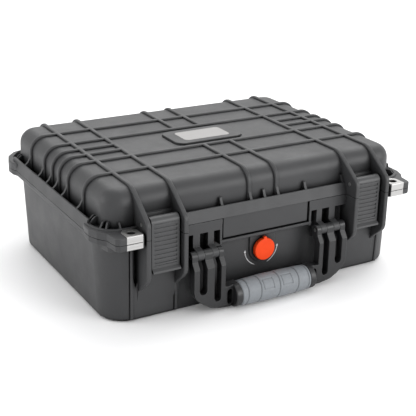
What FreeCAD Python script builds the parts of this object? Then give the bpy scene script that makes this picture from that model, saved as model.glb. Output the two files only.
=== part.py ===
import FreeCAD, Part
import math, os
from FreeCAD import Vector as V

os.makedirs("parts", exist_ok=True)

# ---------------------------------------------------------------------------
# Rugged moulded hard case.  Millimetres.  X right, Y back, Z up.
# Origin: centre of the underside, on the ground.
# ---------------------------------------------------------------------------
HEIGHT = 155.0          # ground to the top of the lid ribs
PART_Z = 105.5          # parting plane between base and lid
PART_GAP = 0.6          # gap between the two rims when closed
BASE_TOP = PART_Z - PART_GAP / 2
LID_BOT = PART_Z + PART_GAP / 2

# base tub
# each outline: half width, half depth, corner radius, Y of its centre
TUB_BOT = (197.0, 140.5, 32.0, -7.5)    # at the floor
TUB_TOP = (200.5, 145.0, 38.0, -6.0)    # under the rim
RIM_Z = 97.5
FLOOR = 5.0
CAV_BOT = (193.0, 133.5, 24.0, -4.5)
CAV_TOP = (196.2, 137.0, 27.0, -1.0)
RECESS_Y = -144.3       # face of the sunk front wall behind the handle
RECESS_X = 115.0

# rims
RIM_OUT = (209.0, 156.0, 31.0, 1.5)     # at the parting plane
RIM_LOW = (204.0, 150.0, 34.0, -2.0)    # where the base rim meets the wall
LIP_OUT = (206.2, 152.1, 28.5, 1.5)     # top of the lid lip
LIP_IN = (204.2, 150.1, 26.5, 1.5)
LIP_Z = 119.0
CORNER_Z = 114.6        # the lip drops at the corners
TROUGH_Z = 111.5
SEAL = (198.4, 144.5, 24.0, 1.5)        # centre line of the gasket

# lid crown
CROWN_BOT = (195.5, 143.8, 22.5, 1.5)
CROWN_TOP = (194.3, 142.6, 21.5, 1.5)
CROWN_Z = 152.0
CROWN_R = 18.5
RIB_H = 3.0
RIB_W = 5.5
RIB_X = (160.0, 115.3, 18.5)
RIB_Y = (83.3, 37.5, 10.8)
LID_CAV = (191.0, 139.2, 18.0, 1.5)
LID_CAV_Z = 147.5
PAD = (47.0, 26.5, 12.0)            # raised badge pad, half sizes and corner radius

# front guards beside the latches
GUARD_W = 5.5
GUARD_Y = -173.5

# padlock ears
EAR_Y = -173.0
LOCK_X = 176.2
LOCK_Y = -163.0
LOCK_R = 5.0
EAR_Z = 113.0           # top of the lid ear under the steel tab
LOCK_W = 18.6

# latches
LATCH_X = 136.8
LATCH_W = 33.6
LATCH_PY, LATCH_PZ = -159.3, 119.3
LATCH_PIN_R = 2.2
HOOK_DY, HOOK_DZ = 7.0, -12.0       # hook pivot from the lever pivot
HOOK_PIN_R = 1.6
CATCH_Z = 80.0

# handle
HND_PY, HND_PZ = -161.0, 70.0
HND_PIN_R = 2.2
GRIP_Y, GRIP_Z, GRIP_R, GRIP_L = -169.5, 16.8, 16.0, 95.0

# rear hinges
HINGE_Y, HINGE_Z, HINGE_R = 176.0, PART_Z, 7.5
HINGE_PIN_R = 2.5
HINGE_X = 115.0

# pressure valve
VALVE_Z = 55.5
VALVE_Y = -146.3        # face of the valve boss
KNOB_R = 13.5

CLR = 0.05              # radial running clearance on pins


# ---------------------------------------------------------------------------
def rrect(hx, hy, r, z, cy=0.0):
    pts = []
    k = math.sqrt(0.5)
    c = [(hx - r, cy + hy - r, 0), (-hx + r, cy + hy - r, 90), (-hx + r, cy - hy + r, 180), (hx - r, cy - hy + r, 270)]
    edges = []
    ends = []
    for (x, y, a) in c:
        a0, a1, am = math.radians(a), math.radians(a + 90), math.radians(a + 45)
        p0 = V(x + r * math.cos(a0), y + r * math.sin(a0), z)
        pm = V(x + r * math.cos(am), y + r * math.sin(am), z)
        p1 = V(x + r * math.cos(a1), y + r * math.sin(a1), z)
        ends.append((p0, pm, p1))
    for i in range(4):
        p0, pm, p1 = ends[i]
        edges.append(Part.Arc(p0, pm, p1).toShape())
        n0 = ends[(i + 1) % 4][0]
        edges.append(Part.LineSegment(p1, n0).toShape())
    return Part.Wire(edges)


def tub(a, za, b, zb):
    return Part.makeLoft([rrect(a[0], a[1], a[2], za, a[3]), rrect(b[0], b[1], b[2], zb, b[3])], True, True)


def prism(a, z0, z1):
    return Part.Face(rrect(a[0], a[1], a[2], z0, a[3])).extrude(V(0, 0, z1 - z0))


def grow(a, d, dr=None):
    """The same outline, larger all round by d."""
    return (a[0] + d, a[1] + d, a[2] + (d if dr is None else dr), a[3])


def box(x0, x1, y0, y1, z0, z1):
    return Part.makeBox(x1 - x0, y1 - y0, z1 - z0, V(x0, y0, z0))


def poly_x(pts, x0, x1):
    """Closed (y, z) outline pushed along X."""
    w = Part.makePolygon([V(x0, y, z) for y, z in pts] + [V(x0, pts[0][0], pts[0][1])])
    return Part.Face(w).extrude(V(x1 - x0, 0, 0))


def poly_y(pts, y0, y1):
    """Closed (x, z) outline pushed along Y."""
    w = Part.makePolygon([V(x, y0, z) for x, z in pts] + [V(pts[0][0], y0, pts[0][1])])
    return Part.Face(w).extrude(V(0, y1 - y0, 0))


def poly_z(pts, z0, z1):
    w = Part.makePolygon([V(x, y, z0) for x, y in pts] + [V(pts[0][0], pts[0][1], z0)])
    return Part.Face(w).extrude(V(0, 0, z1 - z0))


def cyl_x(x0, x1, y, z, r):
    return Part.makeCylinder(r, x1 - x0, V(x0, y, z), V(1, 0, 0))


def cyl_y(y0, y1, x, z, r):
    return Part.makeCylinder(r, y1 - y0, V(x, y0, z), V(0, 1, 0))


def cyl_z(z0, z1, x, y, r):
    return Part.makeCylinder(r, z1 - z0, V(x, y, z0), V(0, 0, 1))


def mx(s):
    return s.mirror(V(0, 0, 0), V(1, 0, 0))


def my(s):
    return s.mirror(V(0, 0, 0), V(0, 1, 0))


def join(first, *others):
    o = [s for s in others if s is not None]
    return first.fuse(o) if o else first


def round_edges(s, r, test):
    ed = [e for e in s.Edges if test(e)]
    if not ed:
        print("round_edges: no edge", r)
        return s
    try:
        f = s.makeFillet(r, ed)
        if f.isValid() and f.Volume > 0:
            return f
    except Exception as ex:
        pass
    # edge by edge where the whole set does not go
    out = s
    done = 0
    for e in ed:
        c = e.CenterOfMass
        best = min(out.Edges, key=lambda q: (q.CenterOfMass - c).Length)
        if (best.CenterOfMass - c).Length > 0.01:
            continue
        try:
            f = out.makeFillet(r, [best])
            if f.isValid() and f.Volume > 0:
                out = f
                done += 1
        except Exception:
            pass
    print("round_edges: one by one", r, done, "of", len(ed))
    return out


def along(e, axis, tol=1e-3):
    """Straight edge that runs along an axis."""
    if len(e.Vertexes) != 2 or e.Curve.TypeId != "Part::GeomLine":
        return False
    d = e.Vertexes[1].Point - e.Vertexes[0].Point
    d.normalize()
    return abs(abs([d.x, d.y, d.z]["xyz".index(axis)]) - 1) < tol


def solid(s):
    s = s.removeSplitter() if hasattr(s, "removeSplitter") else s
    so = s.Solids
    return so[0] if len(so) == 1 else Part.Compound(so)


def save(name, s, expect=1):
    s = solid(s)
    ok = s.isValid() and len(s.Solids) == expect
    print("%-26s solids %d valid %s volume %.1f cm3" % (name, len(s.Solids), s.isValid(), s.Volume / 1000.0), "" if ok else "   <-- CHECK")
    s.exportStep("parts/%s.step" % name)
    return s


# ---------------------------------------------------------------------------
# lid shell
# ---------------------------------------------------------------------------
def crown(d=0.0):
    s = tub(grow(CROWN_BOT, d), LID_BOT, grow(CROWN_TOP, d), CROWN_Z + d)
    top = [e for e in s.Edges if all(abs(v.Point.z - (CROWN_Z + d)) < 1e-4 for v in e.Vertexes)]
    return s.makeFillet(CROWN_R + d * 0.8, top)


def rib_slab(x0, x1, y0, y1, outer):
    s = outer.common(box(x0, x1, y0, y1, LID_BOT + 2.0, HEIGHT + 5))
    # round the two long outer edges of the rib
    def outer_edge(e):
        if len(e.Vertexes) == 2:
            p = [v.Point for v in e.Vertexes]
            on = all(abs(q.x - x0) < 1e-3 for q in p) or all(abs(q.x - x1) < 1e-3 for q in p) if (x1 - x0) < 20 else \
                all(abs(q.y - y0) < 1e-3 for q in p) or all(abs(q.y - y1) < 1e-3 for q in p)
            if not on:
                return False
            return not all(q.z < LID_BOT + 2.1 for q in p)
        return False
    return round_edges(s, 1.9, outer_edge)


def guard_lid(x, w=GUARD_W):
    """Plate that carries the rib forward beside a latch, in the lid."""
    pts = [V(0, -112, 155.0), V(0, -124, 154.6), V(0, -135.5, 151.3), V(0, -146, 144.2), V(0, -157, 136.2), V(0, -167.5, 128.4)]
    c = Part.BSplineCurve()
    c.interpolate(Points=pts, InitialTangent=V(0, -1, 0), FinalTangent=V(0, -0.8, -0.62))
    e = [c.toShape(),
         Part.Arc(V(0, -167.5, 128.4), V(0, -171.9, 124.0), V(0, GUARD_Y, 118.5)).toShape(),
         Part.LineSegment(V(0, GUARD_Y, 118.5), V(0, GUARD_Y, LID_BOT)).toShape(),
         Part.LineSegment(V(0, GUARD_Y, LID_BOT), V(0, -139.5, LID_BOT)).toShape(),
         Part.LineSegment(V(0, -139.5, LID_BOT), V(0, -112, 140)).toShape(),
         Part.LineSegment(V(0, -112, 140), V(0, -112, 155.0)).toShape()]
    f = Part.Face(Part.Wire(Part.__sortEdges__(e)))
    s = f.extrude(V(w, 0, 0))
    s.translate(V(x - w / 2, 0, 0))
    x0, x1 = x - w / 2, x + w / 2

    def t(e):
        if len(e.Vertexes) < 2:
            return False
        p = [v.Point for v in e.Vertexes]
        if not (all(abs(q.x - x0) < 1e-3 for q in p) or all(abs(q.x - x1) < 1e-3 for q in p)):
            return False
        c = e.CenterOfMass
        return c.y < -112.5 and (c.y < -172 or c.z > 126 or (c.z > 120 and c.y < -165))
    return round_edges(s, 1.6, t)


EAR = [(-209.0, -112.0), (-210.8, -120.0), (-211.0, -131.0), (-206.8, -143.5), (-199.6, -153.0), (-197.0, -169.0), (-193.5, EAR_Y), (-166.0, EAR_Y), (-162.0, -160.0), (-160.0, -120.0), (-190.0, -100.0)]


def ear(z0, z1):
    s = poly_z(EAR, z0, z1)
    return round_edges(s, 3.0, lambda e: along(e, "z") and e.CenterOfMass.y < -125 and e.CenterOfMass.x < -180)


def rear_ear(z0, z1):
    pts = [(-208.6, 104.0), (-212.0, 112.0), (-212.6, 124.0), (-206.5, 142.0), (-196.0, 154.5), (-182.0, 160.0), (-165.0, 160.0), (-160.0, 120.0), (-190.0, 100.0)]
    s = poly_z(pts, z0, z1)
    return round_edges(s, 6.0, lambda e: along(e, "z") and e.CenterOfMass.y > 126 and e.CenterOfMass.x < -175)


def build_lid():
    inner = crown()
    outer = crown(RIB_H)
    flange = tub(RIM_OUT, LID_BOT, LIP_OUT, LIP_Z)
    flange = flange.cut(prism(LIP_IN, TROUGH_Z, LIP_Z + 1))
    # the flange stands back in the latch bays, clear of the hooks
    b0, b1 = RIB_X[1] + GUARD_W / 2 - 0.5, RIB_X[0] - GUARD_W / 2 + 0.5
    flange = flange.cut([box(b0, b1, -170, -148.0, LID_BOT - 1, 125), box(-b1, -b0, -170, -148.0, LID_BOT - 1, 125)])
    for sx in (1, -1):
        x0, x1 = min(sx * 163, sx * 230), max(sx * 163, sx * 230)
        flange = flange.cut([box(x0, x1, -170, -118.3, CORNER_Z, 125), box(x0, x1, 121.3, 175, CORNER_Z, 125)])
    ears = []
    for e in (ear(LID_BOT, EAR_Z), rear_ear(LID_BOT, CORNER_Z)):
        e = round_edges(e, 1.5, lambda q: abs(q.CenterOfMass.z - max(v.Point.z for v in q.Vertexes)) < 1e-4 and abs(q.CenterOfMass.z - (EAR_Z if q.CenterOfMass.y < 0 else CORNER_Z)) < 1e-3 and abs(q.CenterOfMass.x) > 190)
        ears += [e, mx(e)]
    # the ears carry the outer lip round the corner; the trough stays open inside it
    trough = prism(LIP_IN, TROUGH_Z, LIP_Z + 1)
    ears = [e.cut(trough) for e in ears]
    # ribs across the crown
    ribs = []
    w = RIB_W / 2
    for x in RIB_X[:2]:
        r = rib_slab(x - w, x + w, -200, 200, outer)
        ribs += [r, mx(r)]
    x = RIB_X[2]
    r = rib_slab(x - w, x + w, -200, -RIB_Y[1], outer)
    for q in (r, mx(r), my(r), mx(my(r))):
        ribs.append(q)
    for y in RIB_Y[:2]:
        r = rib_slab(-230, 230, y - w, y + w, outer)
        ribs += [r, my(r)]
    y = RIB_Y[2]
    r = rib_slab(-230, -RIB_X[1], y - w, y + w, outer)
    for q in (r, my(r), mx(r), mx(my(r))):
        ribs.append(q)
    # webs from the foot of each rib across the trough to the lip
    webs = []
    wt = 2.4

    def web_x(y, t=wt, z_top=127.0):
        # on the left side, in the XZ plane
        return poly_y([(-190, 107), (-205.6, 107), (-205.4, LIP_Z - 0.4), (-204.4, LIP_Z + 0.1), (-200.6, 122.4), (-198.3, z_top), (-190, z_top)], y - t / 2, y + t / 2)

    for y in RIB_Y:
        for s in (1, -1):
            a = web_x(s * y, 3.2)
            webs += [a, mx(a)]

    def web_y(x, t=wt, z_top=127.0, front=True):
        a = poly_x([(-138, 107), (-150.4, 107), (-150.0, LIP_Z - 0.4), (-149.0, LIP_Z + 0.1), (-146.8, 122.4), (-145.0, z_top), (-138, z_top)], x - t / 2, x + t / 2)
        if not front:
            a = my(a)
            a.translate(V(0, 3.0, 0))
        return a

    for x in (18.5, -18.5):
        webs += [web_y(x, 3.2), web_y(x, 3.2, front=False)]
    for x in (0.0, 57.0, -57.0, 111.0, -111.0):
        for fr in (True, False):
            webs.append(web_y(x, 3.0, 127.0, fr))
    for x in (160.0, 115.3):
        webs += [web_y(x, 3.2, front=False), web_y(-x, 3.2, front=False)]
    # corner gussets, radial
    for ang in (213, 228, 262):
        g = poly_y([(15.0, 107), (27.2, 107), (27.2, CORNER_Z - 0.3), (26.2, CORNER_Z + 0.2), (22.0, 119.5), (15.0, 119.5)], -0.9, 0.9)
        g.rotate(V(0, 0, 0), V(0, 0, 1), ang)
        g.translate(V(-177.7, -122.1, 0))
        r = my(g)
        r.translate(V(0, 3.0, 0))
        webs += [g, mx(g), r, mx(r)]
    # a pair of thin gussets where the straight side ends
    for y in (-113.6, -118.9):
        g = poly_y([(-190, 107), (-205.2, 107), (-205.0, 114.2), (-204.0, 115.0), (-200.4, 119.0), (-198.0, 121.0), (-190, 121.0)], y - 0.9, y + 0.9)
        r = my(g)
        r.translate(V(0, 3.0, 0))
        webs += [g, mx(g), r, mx(r)]
    # front guards and the filled bay between them
    guards = []
    for x in RIB_X[:2]:
        g = guard_lid(x)
        guards += [g, mx(g)]
    bay = poly_x([(-135, LID_BOT), (-148.0, LID_BOT), (-148.0, 112.5), (-143.6, 124.0), (-135, 127)], 112.0, 163.0)
    guards += [bay, mx(bay)]
    # tongue over the front of the base
    tongue = box(-57.8, 57.8, -153.3, -149.6, 80.6, 110.0)
    tongue = round_edges(tongue, 1.2, lambda e: (along(e, "z") or (along(e, "x") and e.CenterOfMass.z < 90)) and e.CenterOfMass.y < -152)
    # knuckles of the rear hinges
    kn = []
    for s in (1, -1):
        for (a, b) in LID_KNUCKLES:
            x0, x1 = s * HINGE_X + a, s * HINGE_X + b
            k = cyl_x(x0, x1, HINGE_Y, HINGE_Z, HINGE_R)
            arm = poly_x([(152.5, LID_BOT + 0.2), (HINGE_Y, LID_BOT + 0.2), (HINGE_Y + 3.0, HINGE_Z + 6.8), (HINGE_Y - 2, HINGE_Z + HINGE_R), (158, 118.0), (152.2, 118.0)], x0, x1)
            kn.append(k.fuse(arm))
    body = flange.fuse(ears + [inner] + ribs + webs + guards + [tongue] + kn)
    # inside
    cav = tub(LID_CAV, LID_BOT - 1, grow(LID_CAV, -1.2), LID_CAV_Z)
    cav = cav.makeFillet(12, [e for e in cav.Edges if all(abs(v.Point.z - LID_CAV_Z) < 1e-4 for v in e.Vertexes)])
    body = body.cut(cav)
    groove = prism(grow(SEAL, 2.4), LID_BOT - 1, 109.4).cut(prism(grow(SEAL, -2.4), LID_BOT - 2, 110))
    body = body.cut(groove)
    # raised badge pad on the crown, with a fine groove round its foot
    moat = prism((PAD[0] + 0.9, PAD[1] + 0.9, PAD[2] + 0.9, 0), CROWN_Z - 0.6, CROWN_Z + 0.5).cut(prism((PAD[0] - 0.1, PAD[1] - 0.1, PAD[2] - 0.1, 0), CROWN_Z - 1, CROWN_Z + 1))
    moat = moat.cut(box(-37.0, 37.0, -60, 60, 140, 170))
    body = body.cut(moat)
    pad = tub((PAD[0], PAD[1], PAD[2], 0), CROWN_Z - 2.0, (PAD[0] - 0.5, PAD[1] - 0.5, PAD[2] - 0.5, 0), HEIGHT - 0.4)
    pad = pad.makeFillet(0.8, [e for e in pad.Edges if all(abs(v.Point.z - HEIGHT + 0.4) < 1e-4 for v in e.Vertexes)])
    body = body.fuse(pad)
    body = body.cut(prism((32.2, 17.2, 5.1, 0), HEIGHT - 1.4, HEIGHT + 1))
    # holes
    cuts = []
    for s in (1, -1):
        cuts.append(cyl_x(s * LATCH_X - 30, s * LATCH_X + 30, LATCH_PY, LATCH_PZ, LATCH_PIN_R))
        cuts.append(cyl_z(100, 118, s * LOCK_X, LOCK_Y, LOCK_R))
        cuts.append(cyl_x(s * HINGE_X - 60, s * HINGE_X + 60, HINGE_Y, HINGE_Z, HINGE_PIN_R + CLR))
        # seat of the padlock plate
        cuts.append(box(s * LOCK_X - LOCK_W / 2 - 0.1, s * LOCK_X + LOCK_W / 2 + 0.1, EAR_Y - 1, EAR_Y + 1.3, LID_BOT - 1, 118))
    body = body.cut(cuts)
    return body


LID_KNUCKLES = ((-26.0, -10.0), (10.0, 26.0))
BASE_KNUCKLES = ((-42.0, -26.4), (-9.6, 9.6), (26.4, 42.0))


# ---------------------------------------------------------------------------
# base shell
# ---------------------------------------------------------------------------
def guard_base(x, w=GUARD_W):
    pts = [(-138, BASE_TOP), (GUARD_Y, BASE_TOP), (GUARD_Y, 62.0), (-171.6, 56.8), (-166.0, 50.6), (-157.0, 43.5), (-150.0, 36.0), (-138, 30.0)]
    s = poly_x(pts, x - w / 2, x + w / 2)
    s = round_edges(s, 6.0, lambda e: along(e, "x") and e.CenterOfMass.y < -155 and e.CenterOfMass.z < 70 and e.CenterOfMass.z > 45)
    x0, x1 = x - w / 2, x + w / 2
    return round_edges(s, 1.6, lambda e: all(abs(v.Point.x - x0) < 1e-3 for v in e.Vertexes) and e.CenterOfMass.y < -145 and e.CenterOfMass.z < 104
                       or all(abs(v.Point.x - x1) < 1e-3 for v in e.Vertexes) and e.CenterOfMass.y < -145 and e.CenterOfMass.z < 104)


def build_base():
    s = tub(TUB_BOT, 0.0, TUB_TOP, RIM_Z + 1)
    # soft lower edge
    s = s.makeFillet(6.0, [e for e in s.Edges if all(abs(v.Point.z) < 1e-4 for v in e.Vertexes)])
    # sunk centre of the front wall
    rec = poly_z([(-RECESS_X, -190), (RECESS_X, -190), (RECESS_X, RECESS_Y), (-RECESS_X, RECESS_Y)], -1, RIM_Z + 2)
    rec = round_edges(rec, 5.0, lambda e: along(e, "z") and e.CenterOfMass.y > -150)
    s = s.cut(rec)
    s = round_edges(s, 2.0, lambda e: e.Curve.TypeId == "Part::GeomLine" and abs(abs(e.CenterOfMass.x) - RECESS_X) < 0.5 and e.CenterOfMass.y < -145 and e.Length > 50)
    # dark pocket between each outer guard and its corner column
    for sg in (1, -1):
        p = poly_y([(sg * 162.6, 48), (sg * 166.0, 41), (sg * 168.4, 56), (sg * 168.4, 99), (sg * 162.6, 99)], -170, -141.8)
        s = s.cut(p)
        # fine lines beside the upright beads
        s = s.cut([box(min(sg * 171.8, sg * 172.8), max(sg * 171.8, sg * 172.8), -160, -147.0, -1, RIM_Z + 2),
                   box(min(sg * 117.2, sg * 118.2), max(sg * 117.2, sg * 118.2), -160, -146.6, -1, 60)])
    # upright beads at both ends of the latch panel
    beads = []
    for (a, b, zt) in ((168.3, 171.8, 97.0), (113.4, 117.2, 46.0)):
        k = 3.0 / 97.5
        q = poly_x([(-141, 3.0), (-148.9, 3.0), (-149.7, 4.5), (-149.7 - k * (zt - 4.5), zt), (-141, zt)], a, b)
        q = round_edges(q, 1.2, lambda e: e.Curve.TypeId == "Part::GeomLine" and e.Length > 35 and e.CenterOfMass.y < -145)
        beads += [q, mx(q)]
    rim = tub(RIM_LOW, RIM_Z - 3.5, RIM_OUT, BASE_TOP - 5).fuse(prism(RIM_OUT, BASE_TOP - 5, BASE_TOP))
    # the rim stands back behind the tongue and in the latch bays
    rim = rim.cut([box(-59.4, 59.4, -170, -148.2, 60, 120), box(112, 163, -170, -148.0, 60, 120), box(-163, -112, -170, -148.0, 60, 120)])
    ears = []
    for e in (ear(98.0, BASE_TOP), rear_ear(98.0, BASE_TOP)):
        e = round_edges(e, 2.5, lambda q: abs(q.CenterOfMass.z - 98.0) < 1e-3 and abs(q.CenterOfMass.x) > 190)
        ears += [e, mx(e)]
    # solid behind the ear so that it stands on the column
    stand = poly_x([(-120, 99), (-168.0, 99), (-166.0, 97.0), (-149.0, 90.0), (-120, 86)], -196.0, -173.5)
    stand = stand.common(prism((199.0, 168.0, 36.0, 0), 80, 100))
    ears += [stand, mx(stand)]
    guards = []
    for x in RIB_X[:2]:
        g = guard_base(x)
        guards += [g, mx(g)]
    # catch ledge for each latch hook, between the guards
    led = poly_x([(-138, 98.5), (-148.0, 98.5), (-149.0, 92.0), (-154.0, 86.5), (-154.0, CATCH_Z), (-149.0, CATCH_Z), (-149.0, 66.0), (-152.5, 58.0), (-152.0, 48), (-148.6, 22), (-138, 22)], 112.6, 162.7)
    # keep the hook's space clear of the drafted wall
    hook_room = box(118.05, 157.25, -160, -149.0, 65, 97.9)
    s = s.cut([hook_room, mx(hook_room)])
    guards += [led, mx(led)]
    # ledge under the tongue
    lip = poly_x([(-138, 79.4), (-155.2, 79.4), (-155.2, 76.6), (-153.5, 75.4), (-138, 73.5)], -62.5, 62.5)
    # handle mounts
    mounts = []
    face = -154.5
    top = box(59.8, 113.5, face, -139, 92.8, 104.3)
    inner = box(59.8, 62.4, face, -139, 74.5, 104.3)
    mounts += [top, inner]
    for (a, b) in HND_POSTS:
        post = box(a, b, face, -139, 74.5, 104.3)
        lug = cyl_x(a, b, HND_PY, HND_PZ, 6.0)
        web = poly_x([(-139, 78.0), (face, 77.5), (HND_PY, HND_PZ + 6.0), (HND_PY - 1, HND_PZ), (HND_PY, HND_PZ - 6.0), (-139, 52.0)], a, b)
        mounts += [post, lug, web]
    mounts += [mx(m) for m in mounts]
    # pressure valve boss hanging from the ledge
    boss = cyl_y(VALVE_Y, -141, 0, VALVE_Z, 17.0).fuse(box(-17, 17, VALVE_Y, -141, VALVE_Z, 76))
    # knuckles of the rear hinges
    kn = []
    for sg in (1, -1):
        for (a, b) in BASE_KNUCKLES:
            x0, x1 = sg * HINGE_X + a, sg * HINGE_X + b
            k = cyl_x(x0, x1, HINGE_Y, HINGE_Z, HINGE_R)
            arm = poly_x([(150, 99.0), (158, 96), (HINGE_Y - 4, HINGE_Z - 13), (HINGE_Y + 5, HINGE_Z - 5.4), (HINGE_Y + 2, HINGE_Z), (HINGE_Y - 6, BASE_TOP - 0.2), (150, BASE_TOP - 0.2)], x0, x1)
            leg = poly_x([(131, 52), (139.5, 52), (HINGE_Y - 5, HINGE_Z - 14), (158, 99), (131, 99)], x0, x1)
            kn.append(k.fuse([arm, leg]))
    body = s.fuse([rim] + beads + ears + guards + [lip] + mounts + [boss] + kn)
    # gasket ridge
    ridge = prism(grow(SEAL, 1.0), BASE_TOP - 1, 107.3).cut(prism(grow(SEAL, -1.0), BASE_TOP - 2, 108))
    body = body.fuse(ridge)
    cav = tub(CAV_BOT, FLOOR, grow(CAV_TOP, 0.2), 112.0)
    cav = cav.makeFillet(8, [e for e in cav.Edges if all(abs(v.Point.z - FLOOR) < 1e-4 for v in e.Vertexes)])
    body = body.cut(cav)
    cuts = [cyl_y(-160, -120, 0, VALVE_Z, 8.0)]
    cuts.append(cyl_y(-141.0, -120, 0, VALVE_Z, 14.0))
    for sg in (1, -1):
        cuts.append(cyl_z(90, 110, sg * LOCK_X, LOCK_Y, LOCK_R))
        cuts.append(cyl_x(sg * HINGE_X - 60, sg * HINGE_X + 60, HINGE_Y, HINGE_Z, HINGE_PIN_R))
        cuts.append(cyl_x(min(sg * 50, sg * 112), max(sg * 50, sg * 112), HND_PY, HND_PZ, HND_PIN_R))
        cuts.append(box(sg * LOCK_X - LOCK_W / 2 - 0.1, sg * LOCK_X + LOCK_W / 2 + 0.1, EAR_Y - 1, EAR_Y + 1.3, 97, BASE_TOP + 1))
        cuts.append(box(sg * LOCK_X - LOCK_W / 2 - 0.1, sg * LOCK_X + LOCK_W / 2 + 0.1, EAR_Y - 1, LOCK_Y + 7.8, 90, 99.35))
    body = body.cut(cuts)
    return body


HND_POSTS = ((70.5, 78.0), (88.5, 97.0))
HND_FINGERS = ((64.2, 70.1), (78.4, 88.1), (97.4, 104.5))


# ---------------------------------------------------------------------------
def padlock_plate(upper):
    t = 1.2
    x0, x1 = LOCK_X - LOCK_W / 2, LOCK_X + LOCK_W / 2
    if upper:
        z0, z1 = LID_BOT + 0.1, EAR_Z + 1.25
        face = box(x0, x1, EAR_Y + 0.05, EAR_Y + 0.05 + t, z0, z1)
        tab = poly_z([(x0, EAR_Y + 0.05), (x1, EAR_Y + 0.05), (x1, LOCK_Y + 5.5), (x1 - 4.5, LOCK_Y + 10.5), (x0 + 4.5, LOCK_Y + 10.5), (x0, LOCK_Y + 5.5)], z1 - t, z1)
    else:
        z0, z1 = 98.2, BASE_TOP - 0.1
        face = box(x0, x1, EAR_Y + 0.05, EAR_Y + 0.05 + t, z0, z1)
        tab = poly_z([(x0, EAR_Y + 0.05), (x1, EAR_Y + 0.05), (x1, -155.4), (x0, -155.4)], z0, z0 + 1.1)
    s = face.fuse(tab)
    zz = z1 if upper else z0
    s = round_edges(s, 0.9, lambda e: along(e, "x") and abs(e.CenterOfMass.y - EAR_Y - 0.05) < 1e-3 and abs(e.CenterOfMass.z - zz) < 1e-3)
    return s.cut(cyl_z(90, 120, LOCK_X, LOCK_Y, LOCK_R))


def lever():
    """Draw latch lever, built at +X; pivots high in the lid."""
    x0, x1 = LATCH_X - LATCH_W / 2, LATCH_X + LATCH_W / 2
    py, pz = LATCH_PY, LATCH_PZ
    f = -166.1
    prof = [(f, pz - 1), (f, 68.5), (f - 3.6, 65.5), (f - 3.9, 63.6), (f - 1.4, 63.0), (f + 3.5, 66.0), (f + 4.6, 70.0), (f + 4.6, 108.0), (py + 6.6, 115.0), (py + 6.7, pz)]
    body = poly_x(prof, x0, x1).fuse(cyl_x(x0, x1, py, pz, 6.8))
    # side cheeks that carry the hook pin
    hy, hz = py + HOOK_DY, pz + HOOK_DZ
    for (a, b) in ((x0, x0 + 4.2), (x1 - 4.2, x1)):
        ch = poly_x([(f + 2, pz), (f + 2, 80), (f + 6.2, 84.0), (hy + 0.5, hz - 3.8), (hy + 3.0, hz - 2.4), (hy + 3.8, hz), (hy + 2.2, hz + 4), (py + 6.7, pz)], a, b)
        body = body.fuse([ch, cyl_x(a, b, hy, hz, 3.8)])
    # relief for the head of the hook
    body = body.cut(box(x0 + 4.2, x1 - 4.2, f + 4.6, -140, 60, hz + 4.7))
    # sunk, grooved panel on the face
    body = body.cut(box(x0 + 3.0, x1 - 3.0, f - 1, f + 0.8, 71.0, 119.5))
    bars = []
    n = 10
    for i in range(n):
        z = 72.5 + i * (118.0 - 72.5) / (n - 1)
        b = box(x0 + 2.9, x1 - 2.9, f + 0.1, f + 1.2, z - 1.1, z + 1.1)
        bars.append(b)
    body = body.fuse(bars)
    body = body.cut(cyl_x(x0 - 1, x1 + 1, py, pz, LATCH_PIN_R + CLR))
    body = body.cut([cyl_x(x0 - 1, x0 + 4.3, hy, hz, HOOK_PIN_R), cyl_x(x1 - 4.3, x1 + 1, hy, hz, HOOK_PIN_R)])
    return body


def hook():
    x0, x1 = LATCH_X - LATCH_W / 2 + 4.6, LATCH_X + LATCH_W / 2 - 4.6
    hy, hz = LATCH_PY + HOOK_DY, LATCH_PZ + HOOK_DZ
    s = cyl_x(x0, x1, hy, hz, 3.6)
    arm = poly_x([(hy - 3.5, hz + 1), (hy + 2.6, hz - 2.4), (hy + 0.4, hz - 9.0), (-154.9, 92.0), (-154.45, 86.5), (-154.45, 76.4), (-155.6, 73.6), (-158.6, 73.6), (-160.6, 77.0), (-160.6, 88.0), (-157.8, 100.0)], x0, x1)
    s = s.fuse(arm)
    return s.cut(cyl_x(x0 - 1, x1 + 1, hy, hz, HOOK_PIN_R + CLR))


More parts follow.
